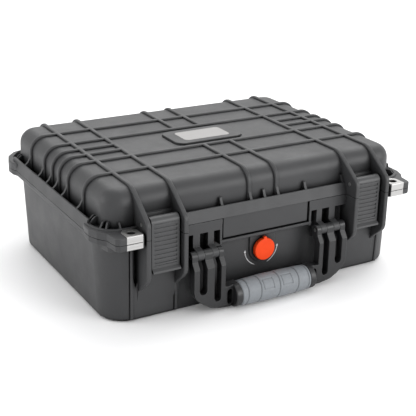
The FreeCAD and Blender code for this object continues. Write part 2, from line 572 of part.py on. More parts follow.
def handle():
    """Hinged carrying frame: three fingers a side round the pins, a bar through the grip."""
    # side profile, pushed along X
    prof = [(-167.0, 70.0), (-167.0, 65.0), (-172.6, 57.0), (-172.6, 8.0), (-168.5, 2.2), (-164.0, 2.2), (-161.4, 8.0), (-161.4, 56.0), (-156.5, 63.0), (-155.0, 70.0)]
    plate = poly_x(prof, 47.0, 105.5).fuse(cyl_x(47.0, 105.5, HND_PY, HND_PZ, 6.0))
    outl = [(64.2, 80), (64.2, 30.0), (60.5, 29.5), (56.0, 30.6), (47.5, 30.8), (47.5, 1.9), (56.0, 1.8), (70.0, 3.4), (80.0, 6.6), (92.0, 13.2), (99.5, 19.5), (103.3, 25.0), (104.5, 31.0), (104.5, 80)]
    o = poly_y(outl, -190, -140)
    o = round_edges(o, 7.0, lambda e: along(e, "y") and e.CenterOfMass.z < 33 and e.CenterOfMass.x > 60 and e.CenterOfMass.z > 2 and e.CenterOfMass.x > 90)
    half = plate.common(o)
    # slots between the fingers, open at the top
    def slot(a, b, z0, z1):
        r = (b - a) / 2
        return box(a, b, -190, -140, z0 + r, z1).fuse(cyl_y(-190, -140, (a + b) / 2, z0 + r, r - 1e-3))
    cuts = [slot(70.1, 78.4, 14.0, 90), slot(88.1, 97.4, 26.0, 90),
            slot(55.2, 61.4, 7.0, 23.0).fuse(cyl_y(-190, -140, 58.3, 23.0, 3.099))]
    half = half.cut(cuts)
    half = half.cut(cyl_x(47, 106, HND_PY, HND_PZ, HND_PIN_R + CLR))
    # long edges softened
    half = round_edges(half, 1.0, lambda e: along(e, "z") and e.Length > 12)
    # end collar of the grip
    collar = cyl_x(47.5, 54.8, GRIP_Y, GRIP_Z, 14.2)
    collar = round_edges(collar, 1.5, lambda e: abs(e.CenterOfMass.x - 54.8) < 1e-3)
    half = half.fuse(collar)
    core = cyl_x(-48, 48, GRIP_Y, GRIP_Z, 8.5)
    return core.fuse([half, mx(half)])


def grip():
    s = cyl_x(-GRIP_L / 2, GRIP_L / 2, GRIP_Y, GRIP_Z, GRIP_R)
    s = round_edges(s, 2.0, lambda e: abs(abs(e.CenterOfMass.x) - GRIP_L / 2) < 1e-3)
    return s.cut(cyl_x(-60, 60, GRIP_Y, GRIP_Z, 8.5))


def build_valve():
    y0 = VALVE_Y
    inner = -141.0          # wall face inside the counterbore
    body = cyl_y(y0 - 0.8, inner + 6.6, 0, VALVE_Z, 7.95).fuse(cyl_y(y0 - 0.8, y0 - 0.05, 0, VALVE_Z, 10.0))
    body = body.cut(cyl_y(-170, -120, 0, VALVE_Z, 4.0 + CLR))
    washer = cyl_y(inner + 0.05, inner + 1.05, 0, VALVE_Z, 12.5).cut(cyl_y(-150, -130, 0, VALVE_Z, 8.0))
    nut_pts = [(11.0 * math.cos(math.radians(60 * i + 30)), VALVE_Z + 11.0 * math.sin(math.radians(60 * i + 30))) for i in range(6)]
    nut = poly_y(nut_pts, inner + 1.1, inner + 3.4).cut(cyl_y(-150, -130, 0, VALVE_Z, 8.0))
    ring = Part.makeTorus(7.6, 1.0, V(0, y0 - 1.85, VALVE_Z), V(0, 1, 0))
    ky0, ky1 = y0 - 7.0, y0 - 2.95
    knob = cyl_y(ky0, ky1, 0, VALVE_Z, KNOB_R)
    knob = round_edges(knob, 1.2, lambda e: abs(e.CenterOfMass.y - ky0) < 1e-3)
    point = poly_y([(-2.6, VALVE_Z + 12), (2.6, VALVE_Z + 12), (1.2, VALVE_Z + 16.0), (-1.2, VALVE_Z + 16.0)], ky0 + 0.4, ky1)
    skirt = cyl_y(ky1 - 0.1, y0 - 1.4, 0, VALVE_Z, KNOB_R - 0.4).cut(cyl_y(-170, -140, 0, VALVE_Z, 11.0))
    stem = cyl_y(ky1 - 1, inner + 9.2, 0, VALVE_Z, 4.0)
    clip = cyl_y(inner + 8.6, inner + 9.2, 0, VALVE_Z, 5.4)
    knob = knob.fuse([point, skirt, stem, clip])
    return body, washer, nut, ring, knob


print("start")
import time
t0 = time.time()
lid = build_lid()
print("lid", round(time.time() - t0, 1))
save("lid_shell", lid)
base = build_base()
print("base", round(time.time() - t0, 1))
save("base_shell", base)

gasket = prism(grow(SEAL, 2.3), 107.4, 109.35).cut(prism(grow(SEAL, -2.3), 107, 110))
save("lid_gasket", gasket)

badge = prism((32.0, 17.0, 5.0, 0), HEIGHT - 1.38, HEIGHT - 0.1)
badge = round_edges(badge, 0.4, lambda e: abs(e.CenterOfMass.z - HEIGHT + 0.1) < 1e-3)
save("badge_plate", badge)

up, lo = padlock_plate(True), padlock_plate(False)
save("padlock_plate_lid_right", up)
save("padlock_plate_lid_left", mx(up))
save("padlock_plate_base_right", lo)
save("padlock_plate_base_left", mx(lo))

for side, sg in (("right", 1), ("left", -1)):
    m = (lambda s: s) if sg == 1 else mx
    save("latch_pin_" + side, m(cyl_x(RIB_X[1] - GUARD_W / 2, RIB_X[0] + GUARD_W / 2, LATCH_PY, LATCH_PZ, LATCH_PIN_R)))
    save("latch_lever_" + side, m(lever()))
    save("latch_hook_" + side, m(hook()))
    save("latch_hook_pin_" + side, m(cyl_x(LATCH_X - LATCH_W / 2 + 0.4, LATCH_X + LATCH_W / 2 - 0.4, LATCH_PY + HOOK_DY, LATCH_PZ + HOOK_DZ, HOOK_PIN_R)))
    save("handle_pin_" + side, m(cyl_x(64.4, 104.3, HND_PY, HND_PZ, HND_PIN_R)))
    save("hinge_pin_" + side, m(cyl_x(HINGE_X - 41.8, HINGE_X + 41.8, HINGE_Y, HINGE_Z, HINGE_PIN_R)))

save("handle_frame", handle())
save("handle_grip", grip())
vb, vw, vn, vo, vk = build_valve()
save("valve_body", vb)
save("valve_washer", vw)
save("valve_nut", vn)
save("valve_oring", vo)
save("valve_knob", vk)

# foam inserts
k10 = 5.0 / (112.0 - FLOOR)
pad = tub(grow(CAV_BOT, -0.4), FLOOR + 0.1, grow(CAV_BOT, -0.4), FLOOR + 10.0)
pad = pad.makeFillet(8, [e for e in pad.Edges if all(abs(v.Point.z - FLOOR - 0.1) < 1e-4 for v in e.Vertexes)])
save("base_foam_pad", pad)
tray = tub(grow(CAV_BOT, -0.2), FLOOR + 10.1, (195.2, 133.5, 26.0, 1.8), 104.0)
tray = tray.common(box(-300, 300, -130.8, 300, 0, 200))
pocket = box(-140, 140, -88, 88, FLOOR + 9, 110)
pocket = round_edges(pocket, 6.0, lambda e: along(e, "z"))
save("base_foam_tray", tray.cut(pocket))
lf = prism((188.8, 137.0, 16.5, 1.5), 116.0, 147.3)
lf = lf.makeFillet(12, [e for e in lf.Edges if all(abs(v.Point.z - 147.3) < 1e-4 for v in e.Vertexes)])
save("lid_foam", lf)
print("total", round(time.time() - t0, 1))
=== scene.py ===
import bpy
import bmesh
import math
import random
from mathutils import Vector, Matrix, noise


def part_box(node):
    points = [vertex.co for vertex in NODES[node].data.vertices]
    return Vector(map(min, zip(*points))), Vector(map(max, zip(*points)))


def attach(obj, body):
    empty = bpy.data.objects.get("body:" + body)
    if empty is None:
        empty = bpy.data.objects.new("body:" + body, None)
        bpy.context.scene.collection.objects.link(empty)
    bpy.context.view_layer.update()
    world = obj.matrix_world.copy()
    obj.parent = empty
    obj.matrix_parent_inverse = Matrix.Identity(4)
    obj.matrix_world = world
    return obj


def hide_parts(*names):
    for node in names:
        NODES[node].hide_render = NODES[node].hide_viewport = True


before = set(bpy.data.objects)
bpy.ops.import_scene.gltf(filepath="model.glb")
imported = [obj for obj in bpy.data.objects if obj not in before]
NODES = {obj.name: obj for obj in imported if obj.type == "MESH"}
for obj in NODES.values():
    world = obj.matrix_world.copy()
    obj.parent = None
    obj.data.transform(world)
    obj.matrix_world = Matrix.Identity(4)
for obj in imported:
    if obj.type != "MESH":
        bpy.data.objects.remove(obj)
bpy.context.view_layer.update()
random.seed(7)


# ---------------------------------------------------------------------------
# camera and light
# ---------------------------------------------------------------------------
def make_camera(pos_mm, az, el, roll, focal_px):
    cam = bpy.data.cameras.new("camera")
    ob = bpy.data.objects.new("camera", cam)
    bpy.context.scene.collection.objects.link(ob)
    cam.sensor_fit = "HORIZONTAL"
    cam.sensor_width = 36.0
    cam.lens = 36.0 * focal_px / 416.0
    cam.shift_y = -0.0012
    cam.clip_start, cam.clip_end = 0.01, 50.0
    a, e, r = (math.radians(v) for v in (az, el, roll))
    back = Vector((math.sin(a) * math.cos(e), -math.cos(a) * math.cos(e), math.sin(e)))
    right = Vector((math.cos(a), math.sin(a), 0.0))
    up = back.cross(right)
    r2 = right * math.cos(r) + up * math.sin(r)
    u2 = -right * math.sin(r) + up * math.cos(r)
    m = Matrix((r2, u2, back)).transposed().to_4x4()
    m.translation = Vector(pos_mm) / 1000.0
    ob.matrix_world = m
    bpy.context.scene.camera = ob
    return ob


make_camera((-561.8, -987.8, 497.0), -30.10, 21.26, 1.00, 940.4)


def area(name, loc, target, size, size_y, energy, color=(1, 1, 1), spread=180):
    li = bpy.data.lights.new(name, "AREA")
    li.shape = "RECTANGLE"
    li.size, li.size_y, li.energy, li.color = size, size_y, energy, color
    li.spread = math.radians(spread)
    ob = bpy.data.objects.new(name, li)
    ob.location = loc
    ob.rotation_euler = (Vector(target) - Vector(loc)).to_track_quat("-Z", "Y").to_euler()
    bpy.context.scene.collection.objects.link(ob)
    return ob


bpy.context.scene.view_settings.view_transform = "Standard"
world = bpy.data.worlds.new("world")
bpy.context.scene.world = world
world.use_nodes = True
bg = world.node_tree.nodes["Background"]
bg.inputs["Color"].default_value = (1.0, 1.0, 1.0, 1.0)
bg.inputs["Strength"].default_value = 1.0
area("key_top_back", (0.95, 1.15, 1.85), (0.0, 0.0, 0.12), 2.6, 1.8, 34.0)
area("fill_left", (-2.1, 0.75, 0.80), (-0.1, 0.0, 0.08), 1.4, 1.1, 13.0)
area("front_right", (1.25, -2.0, 0.85), (0.0, -0.1, 0.08), 1.5, 1.1, 29.0)


# ---------------------------------------------------------------------------
# material helpers
# ---------------------------------------------------------------------------
class Mat:
    """A small wrapper that keeps node wiring readable."""

    def __init__(self, name):
        self.m = bpy.data.materials.new(name)
        self.m.use_nodes = True
        self.t = self.m.node_tree
        self.t.nodes.clear()
        self.out = self.t.nodes.new("ShaderNodeOutputMaterial")
        self.b = self.t.nodes.new("ShaderNodeBsdfPrincipled")
        self.link(self.b.outputs[0], self.out.inputs["Surface"])
        tc = self.t.nodes.new("ShaderNodeTexCoord")
        self.obj = tc.outputs["Object"]

    def link(self, a, b):
        self.t.links.new(a, b)

    def set(self, **kw):
        for k, v in kw.items():
            self.b.inputs[k.replace("_", " ")].default_value = v
        return self

    def mapping(self, scale, src=None, rot=(0, 0, 0)):
        n = self.t.nodes.new("ShaderNodeMapping")
        n.inputs["Scale"].default_value = scale if isinstance(scale, tuple) else (scale,) * 3
        n.inputs["Rotation"].default_value = rot
        self.link(src or self.obj, n.inputs["Vector"])
        return n.outputs[0]

    def noise(self, scale, detail=2.0, rough=0.5, vec=None, distortion=0.0):
        n = self.t.nodes.new("ShaderNodeTexNoise")
        n.inputs["Scale"].default_value = scale
        n.inputs["Detail"].default_value = detail
        n.inputs["Roughness"].default_value = rough
        n.inputs["Distortion"].default_value = distortion
        self.link(vec or self.obj, n.inputs["Vector"])
        return n.outputs["Fac"]

    def voronoi(self, scale, feature="F1", vec=None, out="Distance", randomness=1.0):
        n = self.t.nodes.new("ShaderNodeTexVoronoi")
        n.feature = feature
        n.inputs["Scale"].default_value = scale
        n.inputs["Randomness"].default_value = randomness
        self.link(vec or self.obj, n.inputs["Vector"])
        return n.outputs[out]

    def wave(self, scale, direction="X", vec=None, distortion=0.0, detail=0.0):
        n = self.t.nodes.new("ShaderNodeTexWave")
        n.bands_direction = direction
        n.inputs["Scale"].default_value = scale
        n.inputs["Distortion"].default_value = distortion
        n.inputs["Detail"].default_value = detail
        self.link(vec or self.obj, n.inputs["Vector"])
        return n.outputs["Fac"]

    def ramp(self, src, stops, interp="LINEAR"):
        n = self.t.nodes.new("ShaderNodeValToRGB")
        n.color_ramp.interpolation = interp
        el = n.color_ramp.elements
        while len(el) < len(stops):
            el.new(0.5)
        for e, (p, c) in zip(el, stops):
            e.position = p
            e.color = (c, c, c, 1) if not isinstance(c, tuple) else (*c, 1)
        self.link(src, n.inputs["Fac"])
        return n.outputs["Color"]

    def map_range(self, src, a, b, c, d):
        n = self.t.nodes.new("ShaderNodeMapRange")
        for i, v in zip((1, 2, 3, 4), (a, b, c, d)):
            n.inputs[i].default_value = v
        self.link(src, n.inputs[0])
        return n.outputs[0]

    def math(self, op, a, b=None):
        n = self.t.nodes.new("ShaderNodeMath")
        n.operation = op
        for i, v in enumerate((a, b)):
            if v is None:
                continue
            if isinstance(v, (int, float)):
                n.inputs[i].default_value = v
            else:
                self.link(v, n.inputs[i])
        return n.outputs[0]

    def mix(self, fac, a, b, mode="MIX"):
        n = self.t.nodes.new("ShaderNodeMix")
        n.data_type = "RGBA"
        n.blend_type = mode
        for key, v in ((0, fac), (6, a), (7, b)):
            if isinstance(v, (int, float)):
                if key == 0:
                    n.inputs[key].default_value = v
                else:
                    n.inputs[key].default_value = (v, v, v, 1)
            elif isinstance(v, tuple):
                n.inputs[key].default_value = (*v, 1)
            else:
                self.link(v, n.inputs[key])
        return n.outputs[2]

    def bump(self, height, strength, distance, normal=None):
        n = self.t.nodes.new("ShaderNodeBump")
        n.inputs["Strength"].default_value = strength
        n.inputs["Distance"].default_value = distance
        self.link(height, n.inputs["Height"])
        if normal is not None:
            self.link(normal, n.inputs["Normal"])
        return n.outputs[0]

    def bevel(self, radius, samples=4):
        n = self.t.nodes.new("ShaderNodeBevel")
        n.samples = samples
        n.inputs["Radius"].default_value = radius
        return n.outputs[0]

    def edge_mask(self, radius):
        """1 on the convex and concave edges, 0 on the flats."""
        bev = self.bevel(radius, 4)
        geo = self.t.nodes.new("ShaderNodeNewGeometry")
        d = self.t.nodes.new("ShaderNodeVectorMath")
        d.operation = "DOT_PRODUCT"
        self.link(bev, d.inputs[0])
        self.link(geo.outputs["Normal"], d.inputs[1])
        return self.map_range(d.outputs["Value"], 1.0, 0.85, 0.0, 1.0), bev

    def ao(self, distance, samples=6):
        n = self.t.nodes.new("ShaderNodeAmbientOcclusion")
        n.samples = samples
        n.inputs["Distance"].default_value = distance
        return n.outputs["AO"]


def moulded(name, color, rough, grain=0.5, edge=0.5, painted_shade=0.93, radius=0.0006, spec=0.36):
    """Injection moulded plastic: fine grain, slightly mottled, a little polished on its edges, edges paler partly from
    wear and partly from a painted highlight, and painted shade darkening its corners, creases and recesses.
    """
    k = Mat(name)
    mask, bev = k.edge_mask(radius)
    big = k.noise(9.0, 3.0, 0.55)
    fine = k.noise(1500.0, 2.0, 0.6)
    cells = k.voronoi(1150.0, "SMOOTH_F1")
    lo = tuple(c * 0.90 for c in color)
    hi = tuple(c * 1.10 for c in color)
    col = k.mix(k.map_range(big, 0.3, 0.7, 0.0, 1.0), lo, hi)
    speck = k.mix(k.map_range(fine, 0.35, 0.75, 0.0, 1.0), 0.93, 1.07)
    col = k.mix(1.0, col, speck, "MULTIPLY")
    # paler edges: partly wear, partly a painted highlight along the edges
    pale = tuple(min(1.0, c * 2.6 + 0.036) for c in color)
    wear_and_highlight = k.math("MULTIPLY", mask, k.map_range(k.noise(55.0, 3.0, 0.7), 0.35, 0.65, 0.25 * edge, edge))
    col = k.mix(wear_and_highlight, col, pale)
    # painted shade: ambient occlusion darkens the colour and dims the specular reflection in corners, recesses and
    # beside ribs
    occ = k.ao(0.030)
    shade = k.ramp(occ, [(0.0, 1.0 - painted_shade), (0.32, 1.0 - painted_shade * 0.60), (0.66, 1.0)])
    col = k.mix(1.0, col, shade, "MULTIPLY")
    # painted shade at short range: dark lines in narrow gaps and along the feet of ribs
    near_shade = k.ramp(k.ao(0.0055), [(0.0, 0.12), (0.40, 0.42), (0.80, 1.0)])
    col = k.mix(1.0, col, near_shade, "MULTIPLY")
    k.link(k.math("MULTIPLY", k.map_range(occ, 0.12, 0.62, 0.03, spec), near_shade), k.b.inputs["Specular IOR Level"])
    k.link(col, k.b.inputs["Base Color"])
    r = k.map_range(k.noise(30.0, 4.0, 0.6), 0.3, 0.7, rough - 0.05, rough + 0.06)
    r = k.math("SUBTRACT", r, k.math("MULTIPLY", mask, 0.08))
    k.link(r, k.b.inputs["Roughness"])
    height = k.math("ADD", k.math("MULTIPLY", cells, 0.7), k.math("MULTIPLY", fine, 0.5))
    k.link(k.bump(height, grain, 0.00022, bev), k.b.inputs["Normal"])
    return k.m


def brushed(name, color, rough, axis=0, radius=0.0004, metallic=1.0):
    """Sheet metal with fine parallel scratches."""
    k = Mat(name)
    mask, bev = k.edge_mask(radius)
    sc = [900.0, 900.0, 900.0]
    sc[axis] = 14.0
    streak = k.noise(1.0, 4.0, 0.7, k.mapping(tuple(sc)))
    blot = k.noise(70.0, 3.0, 0.6)
    col = k.mix(k.map_range(streak, 0.3, 0.7, 0.0, 1.0), tuple(c * 0.80 for c in color), color)
    col = k.mix(k.map_range(blot, 0.45, 0.75, 0.0, 0.35), col, tuple(c * 0.86 for c in color))
    col = k.mix(k.math("MULTIPLY", mask, 0.5), col, tuple(min(1, c * 1.15) for c in color))
    k.link(col, k.b.inputs["Base Color"])
    k.link(k.map_range(streak, 0.3, 0.75, rough - 0.08, rough + 0.12), k.b.inputs["Roughness"])
    k.link(k.bump(streak, 0.35, 0.00006, bev), k.b.inputs["Normal"])
    k.set(Metallic=metallic)
    return k.m


def rubber(name, color, rough=0.62, grain=0.5, radius=0.0006):
    k = Mat(name)
    mask, bev = k.edge_mask(radius)
    n1 = k.noise(260.0, 3.0, 0.6)
    n2 = k.noise(2300.0, 2.0, 0.6)
    col = k.mix(k.map_range(n1, 0.3, 0.7, 0.0, 1.0), tuple(c * 0.92 for c in color), tuple(c * 1.08 for c in color))
    col = k.mix(k.math("MULTIPLY", mask, 0.35), col, tuple(min(1.0, c * 1.3 + 0.01) for c in color))
    shade = k.ramp(k.ao(0.004), [(0.0, 0.15), (0.45, 0.40), (0.90, 1.0)])
    col = k.mix(1.0, col, shade, "MULTIPLY")
    k.link(col, k.b.inputs["Base Color"])
    k.link(k.map_range(n1, 0.3, 0.7, rough - 0.05, rough + 0.06), k.b.inputs["Roughness"])
    k.link(k.bump(n2, grain, 0.00018, bev), k.b.inputs["Normal"])
    return k.m


def foam_mat(name, color):
    """Open cell foam: pores, soft and light-eating."""
    k = Mat(name)
    pores = k.voronoi(620.0, "F1")
    pores2 = k.voronoi(1400.0, "F1")
    h = k.math("ADD", k.math("MULTIPLY", pores, 1.0), k.math("MULTIPLY", pores2, 0.6))
    col = k.mix(k.map_range(pores, 0.15, 0.75, 0.0, 1.0), tuple(c * 0.55 for c in color), tuple(c * 1.25 for c in color))
    col = k.mix(k.map_range(k.noise(24.0, 3.0, 0.6), 0.35, 0.7, 0.0, 0.4), col, tuple(c * 1.5 for c in color))
    shade = k.ramp(k.ao(0.012), [(0.0, 0.35), (0.5, 0.8), (0.9, 1.0)])
    col = k.mix(1.0, col, shade, "MULTIPLY")
    k.link(col, k.b.inputs["Base Color"])
    k.link(k.bump(h, 0.8, 0.0007), k.b.inputs["Normal"])
    k.set(Roughness=0.95)
    k.b.inputs["Sheen Weight"].default_value = 0.25
    k.b.inputs["Sheen Roughness"].default_value = 0.6
    k.b.inputs["Specular IOR Level"].default_value = 0.2
    return k.m


SHELL = moulded("shell_moulded", (0.034, 0.0345, 0.036), 0.46, grain=0.42, edge=0.90, radius=0.0009)
LATCH = moulded("latch_moulded", (0.042, 0.0425, 0.044), 0.40, grain=0.30, edge=1.0, radius=0.0004, spec=0.42)
HANDLE = moulded("handle_moulded", (0.017, 0.0174, 0.0184), 0.36, grain=0.25, edge=1.0, radius=0.0009, spec=0.40)
GRIP = rubber("grip_soft", (0.176, 0.189, 0.203), 0.58, grain=0.35)
GASKET = rubber("gasket_soft", (0.018, 0.018, 0.019), 0.5, grain=0.3)
WASHER = rubber("washer_soft", (0.022, 0.022, 0.023), 0.5, grain=0.3)
FOAM = foam_mat("foam_cells", (0.034, 0.035, 0.038))
STEEL = brushed("plate_brushed", (0.49, 0.486, 0.478), 0.34, axis=0)
PIN = brushed("pin_ground", (0.62, 0.62, 0.61), 0.32, axis=0)
BADGE = brushed("badge_brushed", (0.32, 0.313, 0.308), 0.42, axis=0, metallic=0.85)
BRASS = brushed("valve_turned", (0.72, 0.52, 0.23), 0.30, axis=1)


def knob_mat():
    k = Mat("knob_orange")
    mask, bev = k.edge_mask(0.0008)
    fine = k.noise(1700.0, 2.0, 0.6)
    big = k.noise(60.0, 3.0, 0.6)
    col = k.mix(k.map_range(big, 0.3, 0.7, 0.0, 1.0), (0.66, 0.043, 0.003), (0.72, 0.053, 0.005))
    col = k.mix(k.math("MULTIPLY", mask, 0.25), col, (0.95, 0.22, 0.08))
    shade = k.ramp(k.ao(0.006), [(0.0, 0.5), (0.5, 0.85), (0.9, 1.0)])
    col = k.mix(1.0, col, shade, "MULTIPLY")
    k.link(col, k.b.inputs["Base Color"])
    k.link(k.map_range(big, 0.3, 0.7, 0.46, 0.56), k.b.inputs["Roughness"])
    k.set(Specular_IOR_Level=0.2)
    k.link(k.bump(fine, 0.35, 0.0002, bev), k.b.inputs["Normal"])
    return k.m


def ink_mat():
    k = Mat("printed_ink")
    n = k.noise(420.0, 3.0, 0.6)
    k.link(k.mix(k.map_range(n, 0.35, 0.7, 0.0, 1.0), (0.42, 0.43, 0.44), (0.62, 0.63, 0.64)), k.b.inputs["Base Color"])
    k.link(k.map_range(n, 0.3, 0.7, 0.45, 0.6), k.b.inputs["Roughness"])
    return k.m


KNOB = knob_mat()
INK = ink_mat()


# ---------------------------------------------------------------------------
# CAD nodes: materials, smooth shading where the surface is smooth
# ---------------------------------------------------------------------------
def smooth_group():
    g = bpy.data.node_groups.new("smooth_by_angle", "GeometryNodeTree")
    g.interface.new_socket(name="Geometry", in_out="INPUT", socket_type="NodeSocketGeometry")
    g.interface.new_socket(name="Geometry", in_out="OUTPUT", socket_type="NodeSocketGeometry")
    gi, go = g.nodes.new("NodeGroupInput"), g.nodes.new("NodeGroupOutput")
    f = g.nodes.new("GeometryNodeSetShadeSmooth")
    f.domain = "FACE"
    f.inputs["Shade Smooth"].default_value = True
    e = g.nodes.new("GeometryNodeSetShadeSmooth")
    e.domain = "EDGE"
    e.inputs["Shade Smooth"].default_value = False
    ang = g.nodes.new("GeometryNodeInputMeshEdgeAngle")
    cmp_ = g.nodes.new("FunctionNodeCompare")
    cmp_.data_type = "FLOAT"
    cmp_.operation = "GREATER_THAN"
    cmp_.inputs[1].default_value = math.radians(32)
    g.links.new(gi.outputs[0], f.inputs["Geometry"])
    g.links.new(f.outputs[0], e.inputs["Geometry"])
    g.links.new(ang.outputs["Unsigned Angle"], cmp_.inputs[0])
    g.links.new(cmp_.outputs[0], e.inputs["Selection"])
    g.links.new(e.outputs[0], go.inputs[0])
    return g


SMOOTH = smooth_group()


def dress(name, mat, weighted=True):
    ob = NODES[name]
    me = ob.data
    if "custom_normal" in me.attributes:
        me.attributes.remove(me.attributes["custom_normal"])
    me.materials.clear()
    me.materials.append(mat)
    w = ob.modifiers.new("weld", "WELD")
    w.merge_threshold = 0.000002
    s = ob.modifiers.new("smooth", "NODES")
    s.node_group = SMOOTH
    if weighted:
        n = ob.modifiers.new("normals", "WEIGHTED_NORMAL")
        n.keep_sharp = True
        n.weight = 80
    return ob


LOOK = {
    "base_shell": SHELL, "lid_shell": SHELL, "lid_gasket": GASKET, "badge_plate": BADGE,
    "handle_frame": HANDLE, "valve_body": BRASS, "valve_nut": BRASS, "valve_washer": WASHER,
    "valve_oring": WASHER, "valve_knob": KNOB,
}
for side in ("left", "right"):
    LOOK["padlock_plate_lid_" + side] = STEEL
    LOOK["padlock_plate_base_" + side] = STEEL
    LOOK["latch_lever_" + side] = LATCH
    LOOK["latch_hook_" + side] = LATCH
    for n in ("latch_pin_", "latch_hook_pin_", "handle_pin_", "hinge_pin_"):
        LOOK[n + side] = PIN
for n, m in LOOK.items():
    dress(n, m)


# ---------------------------------------------------------------------------
# mesh helpers
# ---------------------------------------------------------------------------
def new_object(name, verts, faces, mat, smooth=True):
    me = bpy.data.meshes.new(name)
    me.from_pydata([tuple(v) for v in verts], [], faces)
    me.validate()
    bm = bmesh.new()
    bm.from_mesh(me)
    bmesh.ops.recalc_face_normals(bm, faces=bm.faces)
    bm.to_mesh(me)
    bm.free()
    ob = bpy.data.objects.new(name, me)
    bpy.context.scene.collection.objects.link(ob)
    me.materials.append(mat)
    for p in me.polygons:
        p.use_smooth = smooth
    return ob


# --- grip: soft sleeve, slightly barrelled, with three moulded grooves -------
def build_grip():
    lo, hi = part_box("handle_grip")
    cx, cy, cz = ((lo + hi) / 2)
    half = (hi.x - lo.x) / 2
    R = (hi.z - lo.z) / 2
    nx, na = 260, 128
    verts, faces = [], []

    def radius(t, a):
        # t -1..1 along the grip, a angle (0 = up, + towards the front)
        e = abs(t)
        r = R * (1.0 - 0.085 * e ** 2.0)
        r -= R * 0.018 * (0.5 + 0.5 * math.cos(t * math.pi * 4.0)) * (1 - e)      # finger swell
        if e > 0.955:
            r -= R * 0.10 * ((e - 0.955) / 0.045) ** 2
        # panel grooves, bowed along the round
        depth = 0.0010
        for t0, bow in ((-0.52, 0.050), (0.02, 0.045), (0.56, 0.050), (-0.86, 0.03), (0.90, 0.02)):
            c = t0 + bow * math.cos(a - 0.5)
            d = abs(t - c) * half
            r -= depth * math.exp(-(d / 0.00065) ** 2)
        # outlines of the small inlaid panels on the front
        for t0, t1 in ((-0.40, -0.12), (0.14, 0.42)):
            for a0 in (math.radians(28), math.radians(74)):
                if t0 < t < t1:
                    da = abs((a - a0 + math.pi) % (2 * math.pi) - math.pi) * R
                    r -= 0.0007 * math.exp(-(da / 0.0006) ** 2)
            if math.radians(28) < a < math.radians(74):
                for tt in (t0, t1):
                    r -= 0.0007 * math.exp(-(abs(t - tt) * half / 0.00055) ** 2)
        # long seam lines of the inlaid panels
        for a0 in (math.radians(-62), math.radians(118)):
            da = abs((a - a0 + math.pi) % (2 * math.pi) - math.pi) * R
            if e < 0.86:
                r -= 0.0005 * math.exp(-(da / 0.0006) ** 2)
        return r

    for i in range(nx + 1):
        t = -1 + 2 * i / nx
        for j in range(na):
            a = 2 * math.pi * j / na
            r = radius(t, a)
            verts.append((cx + t * half, cy - r * math.sin(a), cz + r * math.cos(a)))
    for i in range(nx):
        for j in range(na):
            a, b = i * na + j, i * na + (j + 1) % na
            faces.append((a, b, b + na, a + na))
    # end faces: a ring inwards to the bar
    for end, i in ((-1, 0), (1, nx)):
        ring = [i * na + j for j in range(na)]
        base = len(verts)
        for j in range(na):
            a = 2 * math.pi * j / na
            verts.append((cx + end * half, cy - R * 0.60 * math.sin(a), cz + R * 0.60 * math.cos(a)))
        for j in range(na):
            faces.append((ring[j], ring[(j + 1) % na], base + (j + 1) % na, base + j))
        faces.append([base + j for j in range(na)])
    ob = new_object("grip_sleeve", verts, faces, GRIP)
    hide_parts("handle_grip")
    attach(ob, "handle")
    return ob


build_grip()


# --- printed turn marks beside the valve ------------------------------------
def build_marks():
    y = -0.1443
    cz = 0.0555
    verts, faces = [], []
    t = 0.00014

    def ribbon(pts, w):
        n0 = len(verts)
        for i, (x, z) in enumerate(pts):
            p0 = pts[max(i - 1, 0)]
            p1 = pts[min(i + 1, len(pts) - 1)]
            dx, dz = p1[0] - p0[0], p1[1] - p0[1]
            L = math.hypot(dx, dz) or 1
            nx_, nz = -dz / L, dx / L
            ww = w * (1.0 if i < len(pts) - 4 else max(0.25, (len(pts) - 1 - i) / 4))
            for s in (-1, 1):
                for yy in (y + 0.0002, y - t):
                    verts.append((x + s * nx_ * ww / 2, yy, z + s * nz * ww / 2))
        for i in range(len(pts) - 1):
            a = n0 + i * 4
            b = a + 4
            faces.extend([(a + 1, a + 3, b + 3, b + 1), (a, b, b + 2, a + 2), (a, a + 1, b + 1, b), (a + 2, b + 2, b + 3, a + 3)])
        a = n0
        faces.append((a, a + 2, a + 3, a + 1))
        b = n0 + (len(pts) - 1) * 4
        faces.append((b, b + 1, b + 3, b + 2))

    def plate(pts):
        n0 = len(verts)
        n = len(pts)
        for yy in (y + 0.0002, y - t):
            for (x, z) in pts:
                verts.append((x, yy, z))
        faces.append([n0 + n + i for i in range(n)])
        faces.append([n0 + i for i in reversed(range(n))])
        for i in range(n):
            j = (i + 1) % n
            faces.append((n0 + i, n0 + j, n0 + n + j, n0 + n + i))

    R = 0.0226
    left = [(R * math.cos(math.radians(a)), cz + R * math.sin(math.radians(a))) for a in range(188, 252, 2)]
    right = [(R * math.cos(math.radians(-a)), cz + R * math.sin(math.radians(-a))) for a in range(8, 70, 2)]
    ribbon(left, 0.0008)
    ribbon(right, 0.0008)
    # heads of the two arrows
    x, z = left[0]
    plate([(x - 0.0016, z - 0.0002), (x + 0.0016, z - 0.0002), (x + 0.0003, z + 0.0028)])
    x, z = right[0]
    plate([(x - 0.0015, z), (x + 0.0016, z), (x + 0.0002, z + 0.0027)])
    ob = new_object("valve_turn_marks", verts, faces, INK, smooth=False)
    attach(ob, "base")
    return ob


build_marks()


# --- foam --------------------------------------------------------------------
def clip_poly(poly, inside, cut):
    out = []
    for i in range(len(poly)):
        a, b = poly[i], poly[(i + 1) % len(poly)]
        ia, ib = inside(a), inside(b)
        if ia:
            out.append(a)
        if ia != ib:
            out.append(cut(a, b))
    return out


def clip_convex(poly, hull):
    n = len(hull)
    for i in range(n):
        p, q = hull[i], hull[(i + 1) % n]
        ex, ey = q[0] - p[0], q[1] - p[1]

        def side(v):
            return ex * (v[1] - p[1]) - ey * (v[0] - p[0])

        def cut(a, b):
            sa, sb = side(a), side(b)
            t = sa / (sa - sb)
            return (a[0] + (b[0] - a[0]) * t, a[1] + (b[1] - a[1]) * t)

        poly = clip_poly(poly, lambda v: side(v) >= 0, cut)
        if len(poly) < 3:
            return []
    return poly


